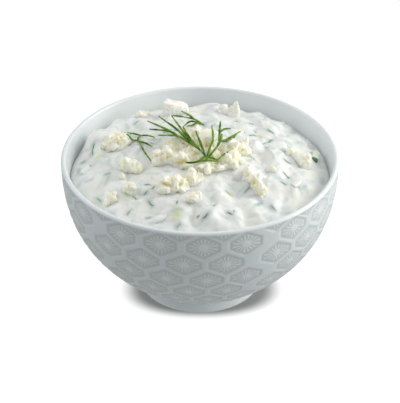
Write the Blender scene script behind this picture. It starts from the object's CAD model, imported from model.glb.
import math
import random
from functools import partial

import bmesh
import bpy
import numpy as np
from mathutils import Euler, Matrix, Vector, noise
from mathutils.bvhtree import BVHTree


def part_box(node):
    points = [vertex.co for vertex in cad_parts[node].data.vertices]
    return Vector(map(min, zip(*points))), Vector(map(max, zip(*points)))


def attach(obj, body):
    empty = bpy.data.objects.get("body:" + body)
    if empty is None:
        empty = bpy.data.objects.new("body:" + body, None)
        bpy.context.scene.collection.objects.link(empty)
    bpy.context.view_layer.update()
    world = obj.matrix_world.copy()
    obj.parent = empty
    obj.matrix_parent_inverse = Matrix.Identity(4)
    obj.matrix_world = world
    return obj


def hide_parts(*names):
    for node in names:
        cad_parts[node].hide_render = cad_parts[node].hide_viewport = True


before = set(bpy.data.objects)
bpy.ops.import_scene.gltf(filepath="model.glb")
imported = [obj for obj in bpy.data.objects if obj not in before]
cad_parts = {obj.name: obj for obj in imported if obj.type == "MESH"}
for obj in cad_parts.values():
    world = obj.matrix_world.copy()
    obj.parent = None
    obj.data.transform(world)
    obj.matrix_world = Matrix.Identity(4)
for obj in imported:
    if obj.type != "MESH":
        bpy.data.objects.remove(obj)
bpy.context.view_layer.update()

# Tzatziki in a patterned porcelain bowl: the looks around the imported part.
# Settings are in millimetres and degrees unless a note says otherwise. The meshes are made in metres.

mm = 0.001
noise.seed_set(4)  # noise_vector is different in each run without it
print("frame loaded,", len(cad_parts), "nodes")


# Helpers for meshes

def addPiece(name, mesh, material):
    mesh.shade_smooth()
    mesh.materials.append(material)
    piece = bpy.data.objects.new(name, mesh)
    bpy.context.scene.collection.objects.link(piece)
    return piece


def meshPiece(name, verts, faces, material):
    mesh = bpy.data.meshes.new(name)
    mesh.from_pydata((np.asarray(verts) * mm).tolist(), [], faces)
    return addPiece(name, mesh, material)


def bmeshPiece(name, bm, material):  # the bmesh is in millimetres
    bm.transform(Matrix.Scale(mm, 4))
    mesh = bpy.data.meshes.new(name)
    bm.to_mesh(mesh)
    bm.free()
    return addPiece(name, mesh, material)


def applyModifiers(piece):
    graph = bpy.context.evaluated_depsgraph_get()
    mesh = bpy.data.meshes.new_from_object(piece.evaluated_get(graph))
    piece.modifiers.clear()
    piece.data = mesh


def serve(piece, slot, *nodes):  # every piece rides on the one body and stands for its own nodes
    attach(piece, "root")
    if nodes:
        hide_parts(*nodes)


def vertexRows(mesh, what):  # "co" or "normal", one row for each vertex
    values = np.empty(len(mesh.vertices) * 3)
    mesh.vertices.foreach_get(what, values)
    return values.reshape(-1, 3)


def moveVertices(piece, points):
    piece.data.vertices.foreach_set("co", (points * mm).ravel())
    piece.data.update()


def writeMask(piece, name, values):
    layer = piece.data.attributes.new(name, "FLOAT", "POINT")
    layer.data.foreach_set("value", np.asarray(values, dtype=np.float32))


def spunFaces(rings, columns):  # a first point, rings and a last point, and each corner as (column, ring)
    faces, corners = [], []
    for column in range(columns):
        faces.append((0, 1 + column, 1 + (column + 1) % columns))
        corners.append([(column, 0), (column, 1), (column + 1, 1)])
    for ring in range(1, rings):
        base = 1 + (ring - 1) * columns
        for column in range(columns):
            here, after = base + column, base + (column + 1) % columns
            faces.append((here, here + columns, after + columns, after))
            corners.append([(column, ring), (column, ring + 1), (column + 1, ring + 1), (column + 1, ring)])
    base = 1 + (rings - 1) * columns
    for column in range(columns):
        faces.append((base + column, base + columns, base + (column + 1) % columns))
        corners.append([(column, rings), (column, rings + 1), (column + 1, rings)])
    return faces, corners


def tubeFaces(base, rings, sides):  # a closed tube whose vertices start at base
    faces = []
    for ring in range(rings - 1):
        for side in range(sides):
            here, after = base + ring * sides + side, base + ring * sides + (side + 1) % sides
            faces.append((here, after, after + sides, here + sides))
    faces.append(tuple(base + side for side in reversed(range(sides))))
    faces.append(tuple(base + (rings - 1) * sides + side for side in range(sides)))
    return faces


def pieceName(nodeName):  # feta_back_left becomes fetaBackLeft
    first, *others = nodeName.split("_")
    return first + "".join(word.capitalize() for word in others)


def treeOf(piece):
    bm = bmesh.new()
    bm.from_mesh(piece.data)
    tree = BVHTree.FromBMesh(bm)
    bm.free()
    return tree


# Helpers for materials

def newMaterial(name, settings):
    material = bpy.data.materials.new(name)
    material.use_nodes = True
    shader = material.node_tree.nodes["Principled BSDF"]
    for socket, value in settings.items():
        shader.inputs[socket].default_value = value
    return material, material.node_tree, shader


def softInside(weight, radius, depth):  # light that goes some mm in, further for one colour than another
    return {"Subsurface Weight": weight, "Subsurface Radius": radius, "Subsurface Scale": depth * mm}


def feed(tree, value, socket):  # a plain number is set, and a socket is linked
    if isinstance(value, bpy.types.NodeSocket):
        tree.links.new(value, socket)
    else:
        socket.default_value = value


def calc(tree, operation, *values):
    node = tree.nodes.new("ShaderNodeMath")
    node.operation = operation
    for value, socket in zip(values, node.inputs):
        feed(tree, value, socket)
    return node.outputs[0]


def blendColour(tree, factor, first, second):
    node = tree.nodes.new("ShaderNodeMix")
    node.data_type = "RGBA"
    feed(tree, factor, node.inputs["Factor"])
    feed(tree, first, node.inputs[6])
    feed(tree, second, node.inputs[7])
    return node.outputs[2]


def noiseValue(tree, place, size, detail=3.0, roughness=0.5):  # size is that of one blotch, in mm
    node = tree.nodes.new("ShaderNodeTexNoise")
    node.inputs["Scale"].default_value = 1 / (size * mm)
    node.inputs["Detail"].default_value = detail
    node.inputs["Roughness"].default_value = roughness
    tree.links.new(place, node.inputs["Vector"])
    return node.outputs["Fac"]


def ramp(tree, value, low, high):  # 0 at low, 1 at high, smooth between
    node = tree.nodes.new("ShaderNodeMapRange")
    node.interpolation_type = "SMOOTHSTEP"
    feed(tree, value, node.inputs["Value"])
    node.inputs["From Min"].default_value = low
    node.inputs["From Max"].default_value = high
    return node.outputs["Result"]


def blotches(tree, place, size, low, high, detail=3.0, roughness=0.5):  # none at low, full at high
    return ramp(tree, noiseValue(tree, place, size, detail, roughness), low, high)


def objectPlace(tree):
    return tree.nodes.new("ShaderNodeTexCoord").outputs["Object"]


def maskValue(tree, name):
    node = tree.nodes.new("ShaderNodeAttribute")
    node.attribute_name = name
    return node.outputs["Fac"]


def darker(colour, share):
    return tuple(channel * share for channel in colour[:3]) + (1.0,)


def addBump(tree, shader, height, depth, strength):  # depth in mm
    node = tree.nodes.new("ShaderNodeBump")
    node.inputs["Strength"].default_value = strength
    node.inputs["Distance"].default_value = depth * mm
    tree.links.new(height, node.inputs["Height"])
    tree.links.new(node.outputs["Normal"], shader.inputs["Normal"])


def addPores(tree, shader, place, size, depth, strength, detail=3.0):
    addBump(tree, shader, noiseValue(tree, place, size, detail), depth, strength)


# Porcelain bowl with a honeycomb of flowers round the outside

bowl = {
    "radius": 60.0,
    "height": 66.0,
    "wall": 3.1,
    "lip": 2.3,
    "lipSteps": 13,
    "bellyRound": 2.66,
    "bellyRise": 0.93,
    "ringSpread": 1.25,  # above 1 the rings of the wall lie closer near the foot
    "footNeck": 26.7,
    "footHeight": 5.3,
    # radius and height from the neck round the foot to the middle of its recess
    "foot": [(26.85, 4.9), (27.3, 4.1), (27.75, 2.6), (28.0, 1.1), (27.9, 0.5), (27.4, 0.05), (27.0, 0.0)]
    + [(25.3, 0.0), (25.0, 0.2), (24.4, 2.7), (23.9, 3.2), (15.0, 3.5), (0.0, 3.6)],
    "floor": [(0.0, 7.4), (4.9, 7.4), (9.8, 7.4), (14.0, 7.4)],
    "columns": 560,
    "wallRings": 122,
    "insideRings": 16,
    "mapHeight": 100.0,  # the wall's length from the rim down that fills its map
    "glaze": (0.757, 0.82, 0.834, 1.0),
    "inside": (0.83, 0.87, 0.88, 1.0),
    "petal": (0.79, 0.845, 0.85, 1.0),
    "ground": (0.645, 0.695, 0.67, 1.0),
    "glazeFrom": (0.2, 1.2),  # where the inside's colour turns into the glaze, down from the rim
    "cloud": (9.0, 0.3, 0.7),  # blotch size, and the noise values where it starts and is full
    "cloudShade": 0.97,
    "speck": (0.5, 0.35, 0.7, 2.0),
    "speckShade": 0.93,
    "groundRougher": 0.16,
    "grain": (0.7, 0.12),  # size and height
    "bump": (0.12, 0.5),  # depth and strength
    "shader": {"Roughness": 0.3, "Coat Weight": 0.12, "Coat Roughness": 0.15},
}

flower = {
    "panels": 5,
    "perPanel": 4,
    "pitch": 16.8,  # degrees from one flower to the next
    "rowPitch": 9.65,
    "firstRow": -2.65,  # middle of the row that the rim cuts, down from the rim
    "firstRowDrop": 1.2,
    "rows": 8,
    "panelStart": -40.8,
    "rowDrift": 0.7,
    "halfWidth": 7.05,
    "lowerRowsWider": 0.5,
    "halfHeight": 6.1,
    "flatter": 1.15,  # how much wider than tall a flower is
    "slant": 0.569,
    "petals": 16,
    "petalHalf": 0.13,  # half a petal's width at the middle of the flower
    "widen": 0.04,
    "petalStart": 1.6,
    "petalMargin": 1.3,
    "centre": 1.85,
    "edge": 0.3,
    "reliefEdge": 0.6,
    "depth": 0.2,
    "top": 1.5,
    "bottom": 71.0,
    "topFade": 0.3,
    "bottomFade": 0.5,
}


def outerRadius(height):
    share = (height - bowl["footHeight"]) / (bowl["height"] - bowl["footHeight"])
    rise = (1 - (1 - share) ** bowl["bellyRound"]) ** bowl["bellyRise"]
    return bowl["footNeck"] + (bowl["radius"] - bowl["footNeck"]) * rise


def wallLine(count):  # radius, height and outward normal, from the foot to the lip
    top = bowl["height"] - bowl["lip"] / 2
    shares = np.linspace(0, 1, count) ** bowl["ringSpread"]
    heights = bowl["footHeight"] + (top - bowl["footHeight"]) * shares
    step = 0.05
    line = []
    for height in heights:
        below = max(height - step, bowl["footHeight"])
        slope = (outerRadius(height + step) - outerRadius(below)) / (height + step - below)
        length = math.hypot(1, slope)
        line.append((outerRadius(height), height, 1 / length, -slope / length))
    return line


def insideLine(count):  # radius and height on the wall's inside
    return [(r - nr * bowl["wall"], z - nz * bowl["wall"]) for r, z, nr, nz in wallLine(count)]


arrayOperations = {
    "ADD": np.add,
    "SUBTRACT": np.subtract,
    "MULTIPLY": np.multiply,
    "DIVIDE": np.divide,
    "MULTIPLY_ADD": lambda first, second, third: first * second + third,
    "MINIMUM": np.minimum,
    "MAXIMUM": np.maximum,
    "LESS_THAN": np.less,
    "GREATER_THAN": np.greater,
    "ABSOLUTE": np.abs,
    "SQRT": np.sqrt,
    "FLOOR": np.floor,
    "FRACT": lambda value: value - np.floor(value),
    "FLOORED_MODULO": np.mod,
    "ARCTAN2": np.arctan2,
}


def arrayCalc(operation, *values):
    return arrayOperations[operation](*values)


def flowerRow(op, angle, down, row, edge):  # how far a place is sunken ground or petal; op does the sums
    half = flower["pitch"] / 2
    odd = op("FLOORED_MODULO", row, 2.0)
    shift = op("MULTIPLY_ADD", odd, -half, half - flower["panelStart"] + flower["rowDrift"])
    shift = op("MULTIPLY_ADD", row, -flower["rowDrift"], shift)
    local = op("FLOORED_MODULO", op("ADD", angle, shift), 360 / flower["panels"])
    column = op("FLOOR", op("DIVIDE", local, flower["pitch"]))
    column = op("MINIMUM", column, flower["perPanel"] - 1.0)
    x = op("MULTIPLY_ADD", column, -flower["pitch"], op("SUBTRACT", local, half))
    x = op("MULTIPLY", op("ABSOLUTE", x), math.radians(bowl["radius"]))
    y = op("MULTIPLY_ADD", row, -flower["rowPitch"], down)
    firstRow = op("LESS_THAN", row, 0.5)
    y = op("MULTIPLY_ADD", firstRow, -flower["firstRowDrop"], y)
    y = op("ABSOLUTE", op("SUBTRACT", y, flower["firstRow"]))
    lowerRow = op("GREATER_THAN", row, 1.5)
    halfWidth = op("MULTIPLY_ADD", lowerRow, flower["lowerRowsWider"], flower["halfWidth"])
    lean = math.cos(math.atan(flower["slant"]))
    slanted = op("MULTIPLY_ADD", x, flower["slant"], y)
    slanted = op("MULTIPLY", op("SUBTRACT", slanted, flower["halfHeight"]), lean)
    side = op("MAXIMUM", op("SUBTRACT", x, halfWidth), slanted)
    tall = op("MULTIPLY", y, flower["flatter"])
    out = op("SQRT", op("MULTIPLY_ADD", x, x, op("MULTIPLY", tall, tall)))
    part = op("MULTIPLY", op("ARCTAN2", tall, x), flower["petals"] / math.tau)
    off = op("ABSOLUTE", op("SUBTRACT", op("FRACT", part), 0.5))
    off = op("MULTIPLY_ADD", off, math.tau / flower["petals"], -flower["widen"])
    stroke = op("MULTIPLY_ADD", off, out, -flower["petalHalf"])
    petal = op("MAXIMUM", stroke, op("SUBTRACT", flower["petalStart"], out))
    petal = op("MAXIMUM", petal, op("ADD", side, flower["petalMargin"]))
    light = op("MINIMUM", petal, op("SUBTRACT", out, flower["centre"]))
    inside = op("MULTIPLY_ADD", side, -1 / edge, 0.5)
    inside = op("MINIMUM", op("MAXIMUM", inside, 0.0), 1.0)
    bare = op("MULTIPLY_ADD", light, 1 / edge, 0.5)
    ground = op("MINIMUM", inside, op("MAXIMUM", bare, 0.0))
    return ground, op("SUBTRACT", inside, ground)


def flowerGround(angle, down, edge):  # 1 on the sunken ground of a hexagon, 0 on bands and petals
    return np.max([flowerRow(arrayCalc, angle, down, row, edge)[0] for row in range(flower["rows"])], axis=0)


def flowerRowGroup():  # the same for one row, as shader nodes
    tree = bpy.data.node_groups.new("flower row", "ShaderNodeTree")
    for name in ("angle", "down", "row"):
        tree.interface.new_socket(name, in_out="INPUT", socket_type="NodeSocketFloat")
    for name in ("ground", "petal"):
        tree.interface.new_socket(name, in_out="OUTPUT", socket_type="NodeSocketFloat")
    given = tree.nodes.new("NodeGroupInput").outputs
    found = flowerRow(partial(calc, tree), given["angle"], given["down"], given["row"], flower["edge"])
    result = tree.nodes.new("NodeGroupOutput").inputs
    tree.links.new(found[0], result["ground"])
    tree.links.new(found[1], result["petal"])
    return tree


def porcelain():
    material, tree, shader = newMaterial("patternedPorcelain", bowl["shader"])
    op = partial(calc, tree)
    group = flowerRowGroup()
    wallMap = tree.nodes.new("ShaderNodeUVMap")
    wallMap.uv_map = "wallMap"
    split = tree.nodes.new("ShaderNodeSeparateXYZ")
    tree.links.new(wallMap.outputs["UV"], split.inputs["Vector"])
    angle = op("MULTIPLY", split.outputs["X"], 360.0)
    down = op("MULTIPLY", split.outputs["Y"], bowl["mapHeight"])
    start = 0.5 - flower["firstRow"] / flower["rowPitch"]
    count = op("MULTIPLY_ADD", down, 1 / flower["rowPitch"], start)
    nearRow = op("FLOOR", count)
    lowerHalf = op("GREATER_THAN", op("FRACT", count), 0.5)
    nextRow = op("ADD", nearRow, op("MULTIPLY_ADD", lowerHalf, 2.0, -1.0))
    found = []
    for row in (nearRow, nextRow):
        node = tree.nodes.new("ShaderNodeGroup")
        node.node_tree = group
        for name, value in (("angle", angle), ("down", down), ("row", row)):
            tree.links.new(value, node.inputs[name])
        found.append(node.outputs)
    start = ramp(tree, down, flower["top"] - flower["topFade"], flower["top"])
    end = ramp(tree, down, flower["bottom"], flower["bottom"] - flower["bottomFade"])
    onBand = op("MULTIPLY", start, end)
    ground, petal = (
        op("MULTIPLY", op("MAXIMUM", found[0][name], found[1][name]), onBand)
        for name in ("ground", "petal")
    )
    place = objectPlace(tree)
    cloud = blotches(tree, place, *bowl["cloud"])
    glaze = blendColour(tree, cloud, bowl["glaze"], darker(bowl["glaze"], bowl["cloudShade"]))
    speck = blotches(tree, place, *bowl["speck"])
    paint = blendColour(tree, speck, bowl["ground"], darker(bowl["ground"], bowl["speckShade"]))
    glaze = blendColour(tree, ramp(tree, down, *bowl["glazeFrom"]), bowl["inside"], glaze)
    colour = blendColour(tree, ground, glaze, paint)
    colour = blendColour(tree, petal, colour, bowl["petal"])
    tree.links.new(colour, shader.inputs["Base Color"])
    rough = op("MULTIPLY_ADD", ground, bowl["groundRougher"], bowl["shader"]["Roughness"])
    tree.links.new(rough, shader.inputs["Roughness"])
    grainSize, grainHeight = bowl["grain"]
    raised = op("SUBTRACT", 1.0, ground)
    grain = op("MULTIPLY_ADD", noiseValue(tree, place, grainSize, detail=2.0), grainHeight, raised)
    addBump(tree, shader, grain, *bowl["bump"])
    return material


def makeBowl():
    outside = wallLine(bowl["wallRings"])
    half = bowl["lip"] / 2
    line = bowl["floor"] + insideLine(bowl["insideRings"])[:-1]
    for angle in np.radians(np.linspace(0, 180, bowl["lipSteps"])):
        out, up = math.cos(angle) * half, math.sin(angle) * half
        line.append((bowl["radius"] - half - out, bowl["height"] - half + up))
    firstWall = len(line) - 1
    line += [(r, z) for r, z, _, _ in reversed(outside[:-1])]
    line = np.array(line + bowl["foot"])
    steps = np.hypot(*np.diff(line, axis=0).T)
    down = np.zeros(len(line))  # the way along the wall from the top of the rim
    down[firstWall:] = np.concatenate([[0], np.cumsum(steps[firstWall:])]) + half
    normals = {firstWall + offset: (nr, nz) for offset, (_, _, nr, nz) in enumerate(reversed(outside))}

    columns = bowl["columns"]
    angles = np.arange(columns) * 360 / columns
    around = np.radians(angles)
    verts = [(0.0, 0.0, line[0][1])]
    for ring in range(1, len(line) - 1):
        radius, height = line[ring]
        nr, nz = normals.get(ring, (0.0, 0.0))
        sink = np.zeros(columns)
        if ring in normals and flower["top"] < down[ring] < flower["bottom"]:
            sink = flowerGround(angles, down[ring], flower["reliefEdge"]) * flower["depth"]
        radii = radius - sink * nr
        verts += list(zip(radii * np.sin(around), -radii * np.cos(around), height - sink * nz))
    verts.append((0.0, 0.0, line[-1][1]))
    faces, corners = spunFaces(len(line) - 2, columns)
    piece = meshPiece("patternedBowl", verts, faces, porcelain())
    layer = piece.data.uv_layers.new(name="wallMap")
    flat = [(column / columns, down[ring] / bowl["mapHeight"]) for face in corners for column, ring in face]
    layer.data.foreach_set("uv", np.array(flat, dtype=np.float32).ravel())
    serve(piece, "porcelain", "bowl")
    print("bowl made,", len(faces), "faces")


# Yoghurt dip, lumpy with grated cucumber, up to the bowl's wall

dip = {
    "edgeRadius": 56.3,
    "edgeHeight": 55.5,
    "rise": 12.0,
    "flatness": 2.3,
    "shoulder": 0.7,
    "lumpSize": 9.0,
    "lumpHeight": 1.5,
    "rippleSize": 5.0,
    "rippleHeight": 0.7,
    "edgeFade": 4.0,
    "leastRelief": 0.25,
    "seed": 7.3,
    "rings": 132,
    "ringSpread": 0.93,  # below 1 the rings lie closer at the wall
    "columns": 330,
    "wallPoints": 80,
    "intoWall": 0.35,
    "skirt": (50.0, 40.0, 28.0, 16.0, 9.0),  # heights down the wall, below the surface
    "skirtIntoWall": 0.2,
    "bottom": (13.0, 7.8),
    "warpSize": 6.0,
    "warp": 2.2,
    "curdSize": 3.6,
    "curdHeight": 0.34,
    "grainSize": 1.2,
    "grainHeight": 0.09,
    "foldSize": 8.0,
    "foldHeight": 0.42,
    "foldSharpness": 4,
    "foldShift": (3.1, 0.0, 0.0),
    "calmSize": 15.0,
    "calmSpread": 1.6,
    "calmest": 0.45,
    "rollIn": 2.2,  # how far from the wall the edge starts to round down
    "rollDrop": 0.7,
    "rollPower": 2.2,
    "topFrom": 51,  # what is higher belongs to the surface, and not to the skirt
    "shredFade": 3.0,
    "colour": (0.875, 0.885, 0.86, 1.0),
    "cream": (0.872, 0.866, 0.80, 1.0),
    "sage": (0.67, 0.78, 0.66, 1.0),
    "misty": (0.57, 0.71, 0.73, 1.0),
    "underDill": (0.38, 0.51, 0.47, 1.0),
    "lime": (0.71, 0.73, 0.36, 1.0),
    "pepper": (0.22, 0.06, 0.03, 1.0),
    "pores": (0.8, 0.1, 0.45),
    "shader": {"Roughness": 0.33, "Specular IOR Level": 0.42, **softInside(0.55, (1.0, 1.0, 0.85), 2.4)},
    # size, where it starts and is full, detail, roughness and strength of each tint
    "tints": {
        "cream": (11.0, 0.45, 0.7, 2.0, 0.5, 1.0),
        "sage": (6.5, 0.56, 0.78, 4.0, 0.5, 0.65),
        "misty": (4.2, 0.56, 0.76, 4.0, 0.6, 0.6),
    },
    # colour and strength of each mask
    "masks": {
        "shred": ("misty", 0.45),
        "stain": ("underDill", 1.0),
        "lime": ("lime", 1.0),
        "pepper": ("pepper", 1.0),
    },
    "stainWidth": (0.7, 0.5),  # under a strong fleck, and how much more under a faint one
    "limeStrength": 0.75,
    "limeHeading": 0.3,  # radians
    "pepperStrength": 1.4,
}

# spoon marks and buried chunks: x, y, radius, height
dipForms = [
    (4.0, -41.5, 7.0, 2.8), (-9.0, -42.5, 7.5, 2.0), (14.3, -41.0, 5.0, 1.4), (8.5, -33.0, 7.0, 1.8),
    (15.0, -25.0, 10.0, -2.6), (-25.0, -4.0, 9.0, -1.8), (32.0, -1.0, 8.0, 2.6), (23.5, 3.0, 5.5, 3.2),
    (-38.0, -12.0, 8.0, 1.2), (-46.0, 19.0, 15.0, 5.2), (-36.0, 35.0, 10.0, 2.8), (-21.0, 44.0, 8.0, -1.2),
    (-10.0, 47.0, 8.0, -1.5), (-3.0, 45.0, 7.0, 1.0), (6.0, 46.0, 8.0, 2.6), (30.0, 28.0, 9.0, 1.5),
    (38.0, 33.0, 7.0, 1.5), (37.0, -24.0, 8.0, 1.3), (-20.0, -38.0, 8.0, -1.2),
]
calmPlaces = [(-1.0, -5.5, 32.0, 0.9), (-8.0, -26.5, 14.0, 0.6)]  # smoother under the feta

# yellow-green bits just under the surface: x, y, radius
limeSpots = [(-9.8, -43.5, 1.7), (-30.2, -28.6, 0.9), (-29.0, -7.5, 1.1), (12.0, -28.0, 1.0)]
limeSpots += [(-44.5, 3.0, 1.4)]
pepperSpeck = (-0.6, -43.3, 0.42)

# grated cucumber under the surface
shreds = {
    "count": 250,
    "length": (4.0, 11.0),
    "halfWidth": (0.5, 0.95),
    "height": (0.3, 0.85),
    "turned": 0.9,  # radians that a shred may turn from the way the spoon drew it
    "margin": 4.0,
    "fromMiddle": 0.02,
    "deep": 0.4,  # share of the height that shows in the front and on the left, where they lie deeper
    "shallow": 0.9,
    "tint": (-0.3, 1.0),
    "seed": 5,
}


def bump(x, y, form):
    across, along, radius, height = form
    share = ((x - across) ** 2 + (y - along) ** 2) / radius**2
    return height * (1 - share) ** 2 if share < 1 else 0.0


def dipHeight(x, y):  # the same surface as the solid's
    out = math.hypot(x, y)
    reach = min(out / dip["edgeRadius"], 1.0)
    height = dip["edgeHeight"] + dip["rise"] * (1 - reach ** dip["flatness"]) ** dip["shoulder"]
    near = noise.voronoi(Vector((x, y, dip["seed"])) / dip["lumpSize"])[0][0]
    ripple = noise.noise(Vector((x, y, dip["seed"])) / dip["rippleSize"])
    fade = min(1.0, max(dip["leastRelief"], (dip["edgeRadius"] - out) / dip["edgeFade"]))
    relief = dip["lumpHeight"] * (0.5 - near) * 2 + dip["rippleHeight"] * ripple
    relief += sum(bump(x, y, form) for form in dipForms)
    relief *= 1 - min(sum(bump(x, y, form) for form in calmPlaces), 1.0)
    return height + relief * fade


def dipDetail(x, y):  # curds, folds and grain, finer than the solid has
    place = Vector((x, y, dip["seed"]))
    warped = place + dip["warp"] * noise.noise_vector(place / dip["warpSize"])
    curd = 0.5 - noise.voronoi(warped / dip["curdSize"])[0][0]
    fold = 1 - abs(noise.noise(warped / dip["foldSize"] + Vector(dip["foldShift"]))) * dip["foldSharpness"]
    grain = noise.noise(place / dip["grainSize"])
    active = min(1.0, max(0.0, 0.5 + dip["calmSpread"] * noise.noise(place / dip["calmSize"])))
    relief = dip["curdHeight"] * curd + dip["foldHeight"] * max(fold, 0.0)
    return relief * (dip["calmest"] + (1 - dip["calmest"]) * active) + dip["grainHeight"] * grain


def yoghurt():
    material, tree, shader = newMaterial("thickYoghurt", dip["shader"])
    place = objectPlace(tree)
    colour = dip["colour"]
    for name, (*look, strength) in dip["tints"].items():
        share = calc(tree, "MULTIPLY", blotches(tree, place, *look), strength)
        colour = blendColour(tree, share, colour, dip[name])
    for name, (tint, strength) in dip["masks"].items():
        share = calc(tree, "MULTIPLY", maskValue(tree, name), strength)
        colour = blendColour(tree, share, colour, dip[tint])
    tree.links.new(colour, shader.inputs["Base Color"])
    addPores(tree, shader, place, *dip["pores"])
    return material


def strokeMask(points, x, y, heading, length, width):  # 1 along a short line, fading to each side
    along = np.array((math.cos(heading), math.sin(heading)))
    apart = points[:, :2] - (x, y)
    forward = np.clip(apart @ along, -length / 2, length / 2)
    gap = np.hypot(*(apart - forward[:, None] * along).T)
    return np.exp(-((gap / width) ** 2))


def shredRelief(points):  # ridges where grated cucumber lies under the surface, and a mask of them
    rng = random.Random(shreds["seed"])
    relief, mask = np.zeros(len(points)), np.zeros(len(points))
    for _ in range(shreds["count"]):
        out = (dip["edgeRadius"] - shreds["margin"]) * math.sqrt(rng.uniform(shreds["fromMiddle"], 1.0))
        angle = rng.uniform(0, math.tau)
        x, y = out * math.sin(angle), -out * math.cos(angle)
        heading = angle + rng.uniform(-1, 1) * shreds["turned"]
        length = rng.uniform(*shreds["length"])
        stroke = strokeMask(points, x, y, heading, length, rng.uniform(*shreds["halfWidth"]))
        bury = shreds["deep"] if x + 0.5 * y < -12 or y < -24 else shreds["shallow"]
        relief = np.maximum(relief, stroke * rng.uniform(*shreds["height"]) * bury)
        mask = np.maximum(mask, stroke * rng.uniform(*shreds["tint"]))
    return relief, mask


def makeDip(flecks):
    radii, heights = zip(*insideLine(dip["wallPoints"]))
    edge = float(np.interp(dip["edgeHeight"], heights, radii)) + dip["intoWall"]
    rings, columns = dip["rings"], dip["columns"]
    around = [math.tau * column / columns for column in range(columns)]
    verts = [(0.0, 0.0, dipHeight(0.0, 0.0) + dipDetail(0.0, 0.0))]
    for ring in range(1, rings + 1):
        out = edge * (ring / rings) ** dip["ringSpread"]
        rolled = max(0.0, 1 - (edge - out) / dip["rollIn"])
        for angle in around:
            x, y = out * math.sin(angle), -out * math.cos(angle)
            height = dipHeight(x, y) + dipDetail(x, y) - dip["rollDrop"] * rolled ** dip["rollPower"]
            verts.append((x, y, height))
    skirt = [(np.interp(height, heights, radii) + dip["skirtIntoWall"], height) for height in dip["skirt"]]
    skirt.append(dip["bottom"])
    for out, height in skirt:
        verts += [(out * math.sin(angle), -out * math.cos(angle), height) for angle in around]
    verts.append((0.0, 0.0, dip["bottom"][1]))
    faces = spunFaces(rings + len(skirt), columns)[0]
    piece = meshPiece("dipSurface", verts, faces, yoghurt())

    points = np.array(verts)
    relief, shred = shredRelief(points)
    top = points[:, 2] > dip["topFrom"]
    inside = np.clip((edge - np.hypot(points[:, 0], points[:, 1])) / dip["shredFade"], 0, 1)
    points[:, 2] += relief * top * inside
    moveVertices(piece, points)
    stain, lime = np.zeros(len(points)), np.zeros(len(points))
    narrow, wider = dip["stainWidth"]
    for x, y, heading, length, strength in flecks:
        width = narrow + wider * (1 - strength)
        stain = np.maximum(stain, strength * strokeMask(points, x, y, heading, length, width))
    for x, y, radius in limeSpots:
        spot = strokeMask(points, x, y, dip["limeHeading"], radius, radius)
        lime = np.maximum(lime, dip["limeStrength"] * spot)
    x, y, radius = pepperSpeck
    pepper = np.clip(strokeMask(points, x, y, 0.0, 0.1, radius) * dip["pepperStrength"], 0, 1)
    for name, mask in (("shred", shred), ("stain", stain), ("lime", lime), ("pepper", pepper)):
        writeMask(piece, name, mask * top)
    serve(piece, "yoghurt", "dip")
    print("dip made,", len(faces), "faces")
    return piece


# Chopped dill in the dip: some lies on it, and the rest tints it from below

chopped = {
    "onTop": 56,
    "clear": 17,  # the first of them are darker
    "below": 220,
    "length": (1.4, 4.2),
    "width": 0.5,
    "widthSpread": (0.6, 1.15),
    "bend": 0.6,  # radians
    "sunk": (0.25, 0.8),
    "clearTone": (0.0, 0.4),
    "faintTone": (0.45, 1.0),
    "stain": (0.12, 0.5),
    "seenStain": 0.6,
    "looseShorter": 0.6,
    "looseStain": 0.35,
    "rings": 7,
    "sides": 6,
    "flat": 0.7,
    "bluntEnds": (0.12, 0.6),  # how far the ends are cut off a full swell, and its power
    "margin": 2.5,
    "seed": 12,
    "colours": [(0.065, 0.17, 0.095, 1.0), (0.16, 0.29, 0.20, 1.0), (0.42, 0.54, 0.46, 1.0)],
}

# flecks that the photo shows clearly: x, y, length, heading in degrees
seenFlecks = [
    (-47.1, 9.1, 5.4, 87), (-21.9, -23.1, 2.9, -20), (-19.5, -25.1, 2.4, 63), (-22.8, -28.1, 2.6, 54),
    (-26.9, -29.9, 4.1, -61), (-20.4, -34.4, 3.3, -49), (2.2, -44.8, 2.3, 25), (12.2, -41.8, 2.2, -25),
    (36.9, -13.6, 3.5, -39), (34.9, -20.6, 3.6, -45), (37.5, -3.8, 2.9, -29), (28.2, 9.1, 5.0, 65),
    (30.9, 12.9, 3.7, 43), (50.3, 5.2, 3.5, -51), (23.1, 27.5, 3.1, -48), (23.2, 16.5, 3.1, 4),
    (31.6, 20.2, 3.4, -40), (-28.7, 30.6, 3.2, 46), (-47.8, -1.2, 2.1, 47), (-51.1, 3.5, 2.1, 35),
    (19.6, -26.1, 3.4, 47), (-29.2, -37.1, 2.0, 37), (-21.1, -41.0, 2.2, 16), (-8.7, -47.5, 1.8, 43),
    (30.3, -35.5, 2.3, -29), (11.9, -27.9, 2.6, -37), (41.0, -21.0, 2.3, -25), (-39.5, -13.2, 2.3, 41),
    (24.6, -34.2, 3.0, 45), (-42.3, -26.4, 3.0, -53), (-12.8, 18.6, 8.0, 12), (-14.8, 14.8, 3.4, 20),
]


def pickFlecks():
    rng = random.Random(chopped["seed"])
    stain = chopped["seenStain"]
    onTop = [(x, y, math.radians(heading), length, stain) for x, y, length, heading in seenFlecks]
    below = []
    while len(onTop) + len(below) < chopped["onTop"] + chopped["below"]:
        out = (dip["edgeRadius"] - chopped["margin"]) * math.sqrt(rng.random())
        angle = rng.uniform(0, math.tau)
        x, y = out * math.sin(angle), -out * math.cos(angle)
        heading = rng.uniform(0, math.pi)
        length = rng.uniform(*chopped["length"])
        fleck = (x, y, heading, length, rng.uniform(*chopped["stain"]))
        if len(onTop) < chopped["onTop"]:
            onTop.append((x, y, heading, length * chopped["looseShorter"], chopped["looseStain"]))
        else:
            below.append(fleck)
    return onTop, below


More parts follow.
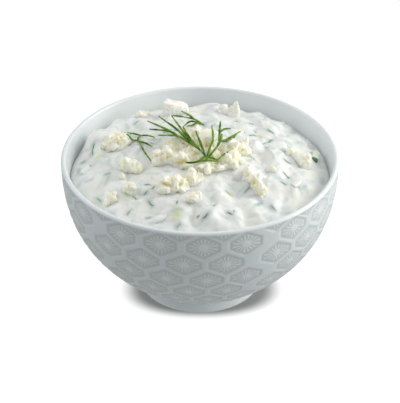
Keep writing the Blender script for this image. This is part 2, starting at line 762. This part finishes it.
def choppedDill():
    material, tree, shader = newMaterial("choppedDill", {"Roughness": 0.42, "Coat Weight": 0.3})
    tone = maskValue(tree, "tone")
    dark, mid, pale = chopped["colours"]
    colour = blendColour(tree, ramp(tree, tone, 0.0, 0.5), dark, mid)
    colour = blendColour(tree, ramp(tree, tone, 0.5, 1.0), colour, pale)
    tree.links.new(colour, shader.inputs["Base Color"])
    return material


def makeFlecks(flecks, surface):
    rng = random.Random(chopped["seed"] + 1)
    tree = treeOf(surface)
    verts, faces, tones = [], [], []
    rings, sides = chopped["rings"], chopped["sides"]
    cutOff, power = chopped["bluntEnds"]
    for number, (x, y, heading, length, _) in enumerate(flecks):
        bend = rng.uniform(-chopped["bend"], chopped["bend"])
        width = chopped["width"] * rng.uniform(*chopped["widthSpread"])
        sunk = rng.uniform(*chopped["sunk"])
        tone = rng.uniform(*chopped["clearTone" if number < chopped["clear"] else "faintTone"])
        base = len(verts)
        for ring in range(rings):
            share = ring / (rings - 1)
            turned = heading + bend * (share - 0.5)
            px = x + math.cos(turned) * length * (share - 0.5)
            py = y + math.sin(turned) * length * (share - 0.5)
            hit = tree.ray_cast(Vector((px, py, 120.0)) * mm, Vector((0.0, 0.0, -1.0)))[0]
            ground = hit.z / mm if hit else dipHeight(px, py)
            thick = width / 2 * math.sin(math.pi * (cutOff + (1 - 2 * cutOff) * share)) ** power
            middle = ground + thick * 0.5 * (1 - 2 * sunk)
            for side in range(sides):
                angle = math.tau * side / sides
                off = math.cos(angle) * thick
                height = middle + math.sin(angle) * thick * chopped["flat"]
                verts.append((px - math.sin(turned) * off, py + math.cos(turned) * off, height))
        faces += tubeFaces(base, rings, sides)
        tones += [tone] * rings * sides
    piece = meshPiece("choppedDill", verts, faces, choppedDill())
    writeMask(piece, "tone", tones)
    serve(piece, "dill")
    print("chopped dill made,", len(flecks), "flecks")


# Feta: curds grown on the solids' own faces

feta = {
    "voxel": 0.3,
    "curdRadius": (0.6, 2.0),
    "moreSmall": 1.6,  # above 1 makes more of the curds small
    "curdShape": ((0.8, 1.35), (0.7, 1.1), (0.65, 1.0)),
    "curdsPerArea": 0.38,
    "raised": (-0.5, 0.2),  # how far a curd's middle stands off the face, in shares of its radius
    "cutFace": 5.0,  # triangles larger than this belong to a cut face, and few curds grow there
    "onCutFaces": 0.04,
    "underside": -0.5,  # no curds on what faces further down
    "rough": 0.62,
    "roughSize": 1.1,
    "softening": 3,
    "lumpSize": 3.2,
    "lumpHeight": 0.45,
    "sink": 0.45,
    "tuckBelow": 1.6,  # what is nearer the dip than this is tucked further down into it
    "tuck": 1.2,
    "crumbSize": 0.9,
    "crumbHeight": 0.24,
    "fineCrumb": (2.3, 0.5),  # how much finer and lower the second noise is
    "warmSides": 0.2,
    "warmBelow": 0.6,
    "hollowReach": 30,
    "hollowDepth": 0.6,
    "mottle": (2.4, 0.8, 0.35),  # size, strength, and what is taken off
    "creamFrom": (0.05, 0.5),
    "deepFrom": (0.5, 1.0),
    "pores": (0.7, 0.15, 0.35),
    "shader": {"Roughness": 0.42, "Specular IOR Level": 0.5, **softInside(0.75, (1.0, 0.88, 0.5), 2.4)},
    "colour": (0.99, 0.965, 0.81, 1.0),
    "cream": (0.98, 0.905, 0.59, 1.0),
    "deep": (0.94, 0.76, 0.35, 1.0),
    "cutColour": (0.985, 0.97, 0.90, 1.0),
    "cutWhite": 0.75,  # how far the cut lumps take that colour
    # share of the usual curds on the smoother pieces
    "fewCurds": {"feta_coated_right": 0, "feta_back_chunk": 0, "feta_back_shard": 0}
    | {"feta_right": 0.4, "feta_far_left": 0.15},
    "cutCorners": {  # lumps with cut faces; the shard is two of them, the right one rising to a point
        "feta_back_chunk": [
            [(-18.2, 35.8, 62.0), (-15.0, 35.2, 62.0), (-5.0, 36.8, 62.0), (-5.0, 43.5, 62.0)]
            + [(-17.0, 43.0, 62.0), (-16.6, 37.6, 70.1), (-15.0, 41.5, 69.8), (-11.6, 37.9, 68.9)]
            + [(-9.0, 42.0, 68.4), (-5.6, 38.6, 66.2), (-5.4, 42.4, 66.4)],
        ],
        "feta_back_shard": [
            [(5.5, 38.8, 62.0), (8.0, 35.6, 62.0), (13.0, 35.4, 62.0), (13.0, 40.5, 62.0)]
            + [(7.0, 41.0, 62.0), (9.4, 38.0, 69.0), (11.5, 37.4, 68.4), (12.6, 39.0, 68.0)],
            [(11.0, 35.2, 62.0), (17.8, 34.4, 62.4), (18.6, 37.4, 62.4), (12.5, 41.0, 62.0)]
            + [(16.6, 38.4, 70.9), (17.5, 37.6, 70.1), (12.4, 37.2, 67.4)],
        ],
    },
}


def crumblyFeta():
    material, tree, shader = newMaterial("crumblyFeta", feta["shader"])
    place = objectPlace(tree)
    size, strength, less = feta["mottle"]
    hollow = calc(tree, "SUBTRACT", maskValue(tree, "hollow"), less)
    patch = calc(tree, "MULTIPLY_ADD", noiseValue(tree, place, size, detail=4.0), strength, hollow)
    colour = blendColour(tree, ramp(tree, patch, *feta["creamFrom"]), feta["colour"], feta["cream"])
    colour = blendColour(tree, ramp(tree, patch, *feta["deepFrom"]), colour, feta["deep"])
    colour = blendColour(tree, maskValue(tree, "cut"), colour, feta["cutColour"])
    tree.links.new(colour, shader.inputs["Base Color"])
    addPores(tree, shader, place, *feta["pores"])
    return material


def growCurds(bm, node, rng):  # rough little lumps scattered over the faces of the node
    mesh = node.data
    mesh.calc_loop_triangles()
    triangles = [[mesh.vertices[v].co / mm for v in t.vertices] for t in mesh.loop_triangles]
    areas = [(b - a).cross(c - a).length / 2 for a, b, c in triangles]
    areas = [area if area < feta["cutFace"] else area * feta["onCutFaces"] for area in areas]
    count = int(sum(areas) * feta["curdsPerArea"] * feta["fewCurds"].get(node.name, 1.0))
    for a, b, c in rng.choices(triangles, weights=areas, k=count):
        first, second = rng.random(), rng.random()
        if first + second > 1:
            first, second = 1 - first, 1 - second
        normal = (b - a).cross(c - a).normalized()
        if normal.z < feta["underside"]:
            continue
        low, high = feta["curdRadius"]
        radius = low + (high - low) * rng.random() ** feta["moreSmall"]
        middle = a + (b - a) * first + (c - a) * second + normal * radius * rng.uniform(*feta["raised"])
        stretch = Matrix.Diagonal([rng.uniform(*span) for span in feta["curdShape"]])
        spin = Euler([rng.uniform(0, math.tau) for _ in range(3)]).to_matrix()
        seed = Vector((rng.uniform(0, 90), 0.0, 0.0))
        made = bmesh.ops.create_icosphere(bm, subdivisions=2, radius=radius)
        for vert in made["verts"]:
            rough = 1 + feta["rough"] * noise.noise(vert.co / radius * feta["roughSize"] + seed)
            vert.co = middle + spin @ (stretch @ (vert.co * rough))


def hollowMask(mesh, points, rounds):  # how far each point lies below its smoothed neighbourhood
    edges = np.empty(len(mesh.edges) * 2, dtype=np.int64)
    mesh.edges.foreach_get("vertices", edges)
    first, second = edges.reshape(-1, 2).T
    count = np.bincount(np.concatenate([first, second]), minlength=len(points))[:, None]
    smooth = points.copy()
    for _ in range(rounds):
        total = np.zeros_like(smooth)
        for axis in range(3):
            total[:, axis] = np.bincount(first, smooth[second, axis], len(points))
            total[:, axis] += np.bincount(second, smooth[first, axis], len(points))
        smooth = total / np.maximum(count, 1)
    return ((smooth - points) * vertexRows(mesh, "normal")).sum(axis=1)


def noiseOver(points, size, finer=1.0):
    return np.array([noise.noise(Vector(point) / size * finer) for point in points])


def makeFeta(nodeName, material):
    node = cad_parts[nodeName]
    rng = random.Random(nodeName)
    bm = bmesh.new()
    if nodeName in feta["cutCorners"]:
        for corners in feta["cutCorners"][nodeName]:
            verts = [bm.verts.new(corner) for corner in corners]
            bmesh.ops.convex_hull(bm, input=verts)
    else:
        bm.from_mesh(node.data)
        bm.transform(Matrix.Scale(1 / mm, 4))
    growCurds(bm, node, rng)
    piece = bmeshPiece(pieceName(nodeName), bm, material)
    remesh = piece.modifiers.new("joined curds", "REMESH")
    remesh.mode = "VOXEL"
    remesh.voxel_size = feta["voxel"] * mm
    soften = piece.modifiers.new("softened creases", "SMOOTH")
    soften.factor = 0.5
    soften.iterations = feta["softening"]
    applyModifiers(piece)
    piece.data.materials.clear()
    piece.data.materials.append(material)
    points = vertexRows(piece.data, "co") / mm
    normals = vertexRows(piece.data, "normal")
    finer, lower = feta["fineCrumb"]
    crumb = noiseOver(points, feta["crumbSize"]) + lower * noiseOver(points, feta["crumbSize"], finer)
    lump = noiseOver(points, feta["lumpSize"])
    points += normals * (feta["crumbHeight"] * crumb + feta["lumpHeight"] * lump)[:, None]
    above = points[:, 2] - np.array([dipHeight(x, y) for x, y, _ in points])
    near = np.clip((feta["tuckBelow"] - above) / feta["tuckBelow"], 0, 1)
    points[:, 2] -= feta["sink"] + feta["tuck"] * near**1.5
    moveVertices(piece, points)
    deep = hollowMask(piece.data, points, feta["hollowReach"]) / feta["hollowDepth"]
    steep = feta["warmBelow"] - normals[:, 2]
    writeMask(piece, "hollow", np.clip(deep + feta["warmSides"] * steep, 0, 1))
    isCut = nodeName in feta["cutCorners"]
    writeMask(piece, "cut", np.full(len(points), feta["cutWhite"] if isCut else 0.0))
    piece.data.shade_smooth()
    serve(piece, "feta", nodeName)
    return piece


# Cucumber dice under a film of yoghurt

cucumber = {
    "sink": 1.0,
    "thickness": 5.0,
    "tilt": 14,
    "wobble": 0.35,
    "wobbleSize": 2.6,
    "skinReach": 1.0,
    "patches": (3.4, 0.65, 0.35),
    "flesh": (0.66, 0.77, 0.46, 1.0),
    "film": (0.865, 0.89, 0.865, 1.0),
    "skin": (0.10, 0.22, 0.15, 1.0),
    "pores": (0.8, 0.15, 0.5),
    "shader": {"Roughness": 0.28, "Coat Weight": 0.2, **softInside(0.5, (0.8, 1.0, 0.7), 2.0)},
}

# length, width, turn, rounding, how bare of yoghurt, and whether the near end has skin, for each node
cucumberDice = {
    "cucumber_1": (8.0, 5.4, 25.0, 2.0, 0.0, False),
    "cucumber_2": (7.4, 3.2, 76.0, 1.3, 0.9, True),
    "cucumber_3": (6.5, 3.0, 75.0, 1.2, 0.2, False),
    "cucumber_4": (6.0, 3.0, 15.0, 1.4, 0.1, False),
    "cucumber_5": (6.0, 3.2, 50.0, 1.5, 0.15, False),
}


def wetCucumber():
    material, tree, shader = newMaterial("wetCucumber", cucumber["shader"])
    place = objectPlace(tree)
    bare = calc(tree, "MULTIPLY", blotches(tree, place, *cucumber["patches"]), maskValue(tree, "bare"))
    colour = blendColour(tree, bare, cucumber["film"], cucumber["flesh"])
    colour = blendColour(tree, maskValue(tree, "skin"), colour, cucumber["skin"])
    tree.links.new(colour, shader.inputs["Base Color"])
    addPores(tree, shader, place, *cucumber["pores"])
    return material


def makeCucumber(nodeName, material):
    length, width, turned, rounding, bare, hasSkin = cucumberDice[nodeName]
    low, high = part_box(nodeName)
    middle = (Vector(low) + Vector(high)) / 2 / mm
    bm = bmesh.new()
    bmesh.ops.create_cube(bm, size=1.0)
    bmesh.ops.scale(bm, verts=bm.verts, vec=(length, width, cucumber["thickness"]))
    bmesh.ops.bevel(bm, geom=list(bm.edges), offset=rounding, segments=3, profile=0.6, affect="EDGES")
    bmesh.ops.triangulate(bm, faces=bm.faces)
    for _ in range(2):
        bmesh.ops.subdivide_edges(bm, edges=bm.edges, cuts=1, use_grid_fill=True, smooth=0.1)
    skin = []
    tilt = Matrix.Rotation(math.radians(cucumber["tilt"]), 3, "X")
    turn = Matrix.Rotation(math.radians(turned), 3, "Z") @ tilt
    seed = Vector((middle.x, 0.0, 0.0))
    for vert in bm.verts:
        skin.append(1.0 if hasSkin and vert.co.x < cucumber["skinReach"] - length / 2 else 0.0)
        vert.co += cucumber["wobble"] * noise.noise_vector(vert.co / cucumber["wobbleSize"] + seed)
        vert.co = turn @ vert.co
    shift = high[2] / mm - cucumber["sink"] - max(vert.co.z for vert in bm.verts)
    bmesh.ops.translate(bm, verts=bm.verts, vec=(middle.x, middle.y, shift))
    piece = bmeshPiece(pieceName(nodeName), bm, material)
    writeMask(piece, "skin", skin)
    writeMask(piece, "bare", np.full(len(skin), bare))
    serve(piece, "cucumber", nodeName)
    return piece


# Dill sprigs, on the same routes as the solids

dillStems = {
    "dill_sprig": [
        [(2.4, -15.2, 71.5), (3.0, -13.6, 72.3), (2.2, -12.2, 72.5), (0.2, -8.9, 73.1)],
        [(0.2, -8.9, 73.1), (-4.4, -3.6, 73.6), (-9.8, 1.8, 73.9)],
        [(2.8, -12.9, 72.3), (4.3, -11.9, 72.5), (6.8, -8.0, 73.6), (8.1, -4.2, 74.9)],
    ],
    "dill_back": [[(1.7, 17.3, 70.0), (-2.6, 23.4, 69.3), (-7.4, 26.7, 68.5)]],
    "dill_left": [[(-33.0, 14.7, 65.1), (-30.0, 10.7, 66.2), (-27.1, 8.4, 67.0), (-25.6, 4.3, 67.4)]],
}

dillNeedles = {
    "dill_sprig": [
        [(-9.8, 1.8, 73.9), (-14.5, 7.4, 73.7), (-23.0, 16.3, 72.6)],
        [(-4.4, -3.6, 73.6), (-9.5, 6.1, 74.0), (-18.3, 19.4, 73.3)],
        [(-2.5, -5.8, 73.4), (-6.4, 2.8, 74.2), (-12.4, 17.5, 74.4)],
        [(-4.4, -3.6, 73.6), (-9.8, 2.1, 73.5), (-18.0, 4.8, 72.3)],
        [(-8.7, 1.0, 73.7), (-13.4, 6.3, 73.4), (-22.0, 10.4, 72.0)],
        [(0.2, -8.9, 73.1), (-3.7, -1.8, 73.8), (-7.2, 9.0, 73.6)],
        [(2.2, -12.2, 72.5), (0.2, -5.3, 74.6), (-1.8, 1.9, 76.1)],
        [(3.0, -12.9, 72.3), (5.5, -3.7, 75.0), (5.1, 5.1, 76.8)],
        [(8.1, -4.2, 74.9), (8.4, 1.1, 76.1), (8.8, 7.9, 77.4)],
        [(6.8, -8.0, 73.6), (8.9, -3.5, 74.9), (9.3, 0.3, 75.7)],
        [(7.9, -4.6, 74.7), (11.6, -1.3, 74.0), (17.6, 7.6, 72.6)],
        [(8.4, 1.1, 76.1), (10.6, 5.4, 75.0), (13.2, 7.2, 74.2)],
        [(9.6, -3.4, 73.6), (10.9, -2.1, 73.4), (12.2, 0.9, 73.2)],
        [(15.4, 4.3, 73.1), (14.4, 1.2, 73.4), (13.0, -2.8, 73.6)],
        [(2.8, -12.9, 72.3), (5.4, -13.2, 72.0), (7.3, -14.2, 71.7), (11.9, -10.5, 72.3)],
        [(2.4, -12.4, 72.4), (-0.6, -15.2, 71.5), (-5.9, -15.5, 71.2)],
        [(-5.9, -15.5, 71.2), (-1.7, -15.6, 71.1), (2.4, -15.9, 71.3), (8.0, -15.0, 71.4)],
    ],
    "dill_back": [
        [(-7.4, 26.7, 68.5), (-10.2, 28.1, 68.2), (-12.9, 28.6, 68.1)],
        [(0.2, 19.1, 69.7), (-4.2, 20.7, 69.8), (-7.5, 16.5, 69.3)],
        [(0.9, 18.2, 69.9), (-2.6, 13.1, 70.9), (-5.7, 14.5, 69.7)],
        [(-2.6, 23.4, 69.3), (-4.6, 26.3, 69.5), (-8.3, 30.2, 69.5)],
    ],
    "dill_left": [
        [(-25.6, 4.3, 67.4), (-23.7, -2.0, 67.7), (-21.0, -8.4, 67.7)],
        [(-27.1, 8.4, 67.0), (-23.9, 5.5, 68.0), (-20.7, 2.3, 68.1)],
        [(-27.1, 8.4, 67.0), (-27.0, 10.8, 67.2), (-25.7, 12.9, 67.2)],
        [(-25.7, 12.9, 67.2), (-22.8, 12.3, 67.6), (-19.8, 10.0, 68.0)],
        [(-25.7, 12.9, 67.2), (-29.0, 16.2, 66.1), (-32.4, 19.2, 64.9)],
    ],
}

dill = {
    "stemRadius": 0.46,
    "needleRadius": 0.5,
    "thickness": {"dill_sprig": 1.14, "dill_back": 1.0, "dill_left": 0.95},
    "sides": 8,
    "points": 20,
    "swell": (0.66, 1.3, -1.46),  # thickness along it: at the root, and its rise and fall from there
    "wave": (0.08, 23),  # a slight unevenness, its strength and pace
    "flat": 0.8,
    "dark": (0.04, 0.115, 0.006, 1.0),
    "mid": (0.115, 0.25, 0.012, 1.0),
    "light": (0.36, 0.49, 0.12, 1.0),
    "shadeSize": 3.2,
    "midFrom": (0.3, 0.6),
    "lightFrom": (0.35, 0.75),
    "pores": (0.35, 0.1, 0.4, 2.0),
    "shader": {"Roughness": 0.5, "Specular IOR Level": 0.12, **softInside(0.15, (0.5, 1.0, 0.3), 0.4)},
}


def freshDill():
    material, tree, shader = newMaterial("freshDill", dill["shader"])
    place = objectPlace(tree)
    shade = noiseValue(tree, place, dill["shadeSize"])
    colour = blendColour(tree, ramp(tree, shade, *dill["midFrom"]), dill["dark"], dill["mid"])
    lightTip = calc(tree, "MULTIPLY", maskValue(tree, "along"), ramp(tree, shade, *dill["lightFrom"]))
    colour = blendColour(tree, lightTip, colour, dill["light"])
    tree.links.new(colour, shader.inputs["Base Color"])
    addPores(tree, shader, place, *dill["pores"])
    return material


def smoothRoute(points, count):  # a smooth curve through the given points
    points = [Vector(point) for point in points]
    ends = [points[0] * 2 - points[1]] + points + [points[-1] * 2 - points[-2]]
    route = []
    spans = len(points) - 1
    for number in range(count):
        position = number / (count - 1) * spans
        span = min(int(position), spans - 1)
        t = position - span
        a, b, c, d = ends[span : span + 4]
        curve = 2 * b + (c - a) * t + (2 * a - 5 * b + 4 * c - d) * t**2 + (3 * b - a - 3 * c + d) * t**3
        route.append(0.5 * curve)
    return route


def restOn(route, trees, radius):  # raises points that would sink into what lies below
    needed = []
    for point in route:
        top = -1.0
        for tree in trees:
            hit = tree.ray_cast(Vector((point.x, point.y, 120.0)) * mm, Vector((0.0, 0.0, -1.0)))[0]
            if hit:
                top = max(top, hit.z / mm)
        needed.append(max(0.0, top + radius * 0.8 - point.z))
    rises = [max(needed[max(0, i - 2) : i + 3]) for i in range(len(needed))]
    for _ in range(2):
        groups = [rises[max(0, i - 1) : i + 2] for i in range(len(rises))]
        rises = [sum(group) / len(group) for group in groups]
    return [point + Vector((0.0, 0.0, rise)) for point, rise in zip(route, rises)]


def makeSprig(nodeName, trees, material):
    verts, faces, along = [], [], []
    sides, count = dill["sides"], dill["points"]
    root, rise, fall = dill["swell"]
    strength, pace = dill["wave"]
    up = Vector((0.0, 0.0, 1.0))
    for routes, radius in ((dillStems, dill["stemRadius"]), (dillNeedles, dill["needleRadius"])):
        radius *= dill["thickness"][nodeName]
        for points in routes[nodeName]:
            route = restOn(smoothRoute(points, count), trees, radius)
            base = len(verts)
            for number, point in enumerate(route):
                share = number / (count - 1)
                forward = (route[min(number + 1, count - 1)] - route[max(number - 1, 0)]).normalized()
                across = forward.cross(up).normalized()
                upward = across.cross(forward) * dill["flat"]
                swell = root + rise * share + fall * share**2
                thick = radius * swell * (1 + strength * math.sin(share * pace + base))
                for corner in range(sides):
                    angle = math.tau * corner / sides
                    verts.append(point + (across * math.cos(angle) + upward * math.sin(angle)) * thick)
                    along.append(share)
            faces += tubeFaces(base, count, sides)
    piece = meshPiece(pieceName(nodeName), verts, faces, material)
    writeMask(piece, "along", along)
    serve(piece, "dill", nodeName)


# Floor, lights and camera

studio = {
    "floor": (0.12, 0.12, 0.12, 1.0),
    "floorGlow": (0.14, 0.95),  # in the shade beside the foot, and beyond it
    "shadeMiddle": (0.8, -9.5),
    "shadeReach": (31.5, 19.0),
    "shadeCorners": 2.25,  # 2 is an oval, and more is squarer
    "shadeFade": (0.86, 1.22),
    "floorHalf": 3000.0,
    "world": 0.43,
    "worldColour": (0.97, 0.985, 1.0, 1.0),
    "lightsAim": (0.0, 0.0, 40.0),
    "cameraPlace": (0.0, -493.0, 375.1),
    "lookAt": (0.0, 0.0, 33.2),
    "focal": 1345.3,  # in pixels, as are the next two
    "picture": (400, 403),
    "opticalCentre": 215.84,
    "sensor": 36.0,
    "clip": (0.01, 20.0),
}

# place, size, power in watts, colour
softboxes = {
    "windowRight": ((560.0, 130.0, 430.0), 400.0, 2.75, (1.0, 0.985, 0.96)),
    "overhead": ((-60.0, 60.0, 800.0), 600.0, 0.6, (0.97, 0.985, 1.0)),
    "leftFill": ((-500.0, 160.0, 380.0), 420.0, 1.1, (0.97, 0.985, 1.0)),
    "lowRight": ((520.0, -90.0, 90.0), 260.0, 1.15, (1.0, 0.99, 0.97)),
}


def aimFrom(obj, where, target):  # a lamp or the camera
    obj.location = Vector(where) * mm
    obj.rotation_euler = (Vector(target) - Vector(where)).to_track_quat("-Z", "Y").to_euler()
    bpy.context.scene.collection.objects.link(obj)


def makeStudio():
    white = (1.0, 1.0, 1.0, 1.0)
    look = {"Roughness": 0.9, "Base Color": studio["floor"], "Emission Color": white}
    material, tree, shader = newMaterial("paleFloor", look)
    split = tree.nodes.new("ShaderNodeSeparateXYZ")
    tree.links.new(objectPlace(tree), split.inputs["Vector"])
    squareness = studio["shadeCorners"]
    shares = []
    for axis in range(2):
        offset = calc(tree, "SUBTRACT", split.outputs[axis], studio["shadeMiddle"][axis] * mm)
        share = calc(tree, "DIVIDE", offset, studio["shadeReach"][axis] * mm)
        shares.append(calc(tree, "POWER", calc(tree, "ABSOLUTE", share), squareness))
    away = calc(tree, "POWER", calc(tree, "ADD", *shares), 1 / squareness)
    near, far = studio["floorGlow"]
    glow = calc(tree, "MULTIPLY_ADD", ramp(tree, away, *studio["shadeFade"]), far - near, near)
    tree.links.new(glow, shader.inputs["Emission Strength"])
    half = studio["floorHalf"]
    corners = [(-half, -half, 0.0), (half, -half, 0.0), (half, half, 0.0), (-half, half, 0.0)]
    floor = meshPiece("floor", corners, [(0, 1, 2, 3)], material)
    floor.visible_diffuse = False  # the even light of the surroundings comes from below as well
    floor.visible_glossy = False
    world = bpy.data.worlds.new("softWhite")
    world.use_nodes = True
    background = world.node_tree.nodes["Background"]
    background.inputs["Color"].default_value = studio["worldColour"]
    background.inputs["Strength"].default_value = studio["world"]
    bpy.context.scene.world = world
    for name, (where, size, power, colour) in softboxes.items():
        light = bpy.data.lights.new(name, "AREA")
        light.size = size * mm
        light.energy = power
        light.color = colour
        lamp = bpy.data.objects.new(name, light)
        aimFrom(lamp, where, studio["lightsAim"])


def makeCamera():
    wide, tall = studio["picture"]
    camera = bpy.data.cameras.new("camera")
    camera.sensor_width = studio["sensor"]
    camera.lens = studio["focal"] * studio["sensor"] / max(wide, tall)
    camera.shift_y = (studio["opticalCentre"] - tall / 2) / max(wide, tall)
    camera.clip_start, camera.clip_end = studio["clip"]
    obj = bpy.data.objects.new("camera", camera)
    aimFrom(obj, studio["cameraPlace"], studio["lookAt"])
    bpy.context.scene.camera = obj


makeStudio()
makeCamera()
makeBowl()
flecksOnTop, flecksBelow = pickFlecks()
dipPiece = makeDip(flecksOnTop + flecksBelow)
makeFlecks(flecksOnTop, dipPiece)
fetaMaterial = crumblyFeta()
toppings = [makeFeta(name, fetaMaterial) for name in sorted(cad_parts) if name.startswith("feta")]
print("feta made,", sum(len(piece.data.polygons) for piece in toppings), "faces")
cucumberMaterial = wetCucumber()
toppings += [makeCucumber(name, cucumberMaterial) for name in cucumberDice]
print("cucumber made")
dillMaterial = freshDill()
trees = [treeOf(piece) for piece in [dipPiece] + toppings]
for name in dillStems:
    makeSprig(name, trees, dillMaterial)
print("dill made")

scene = bpy.context.scene
scene.view_settings.view_transform = "Standard"
scene.view_settings.look = "None"
bpy.context.view_layer.update()
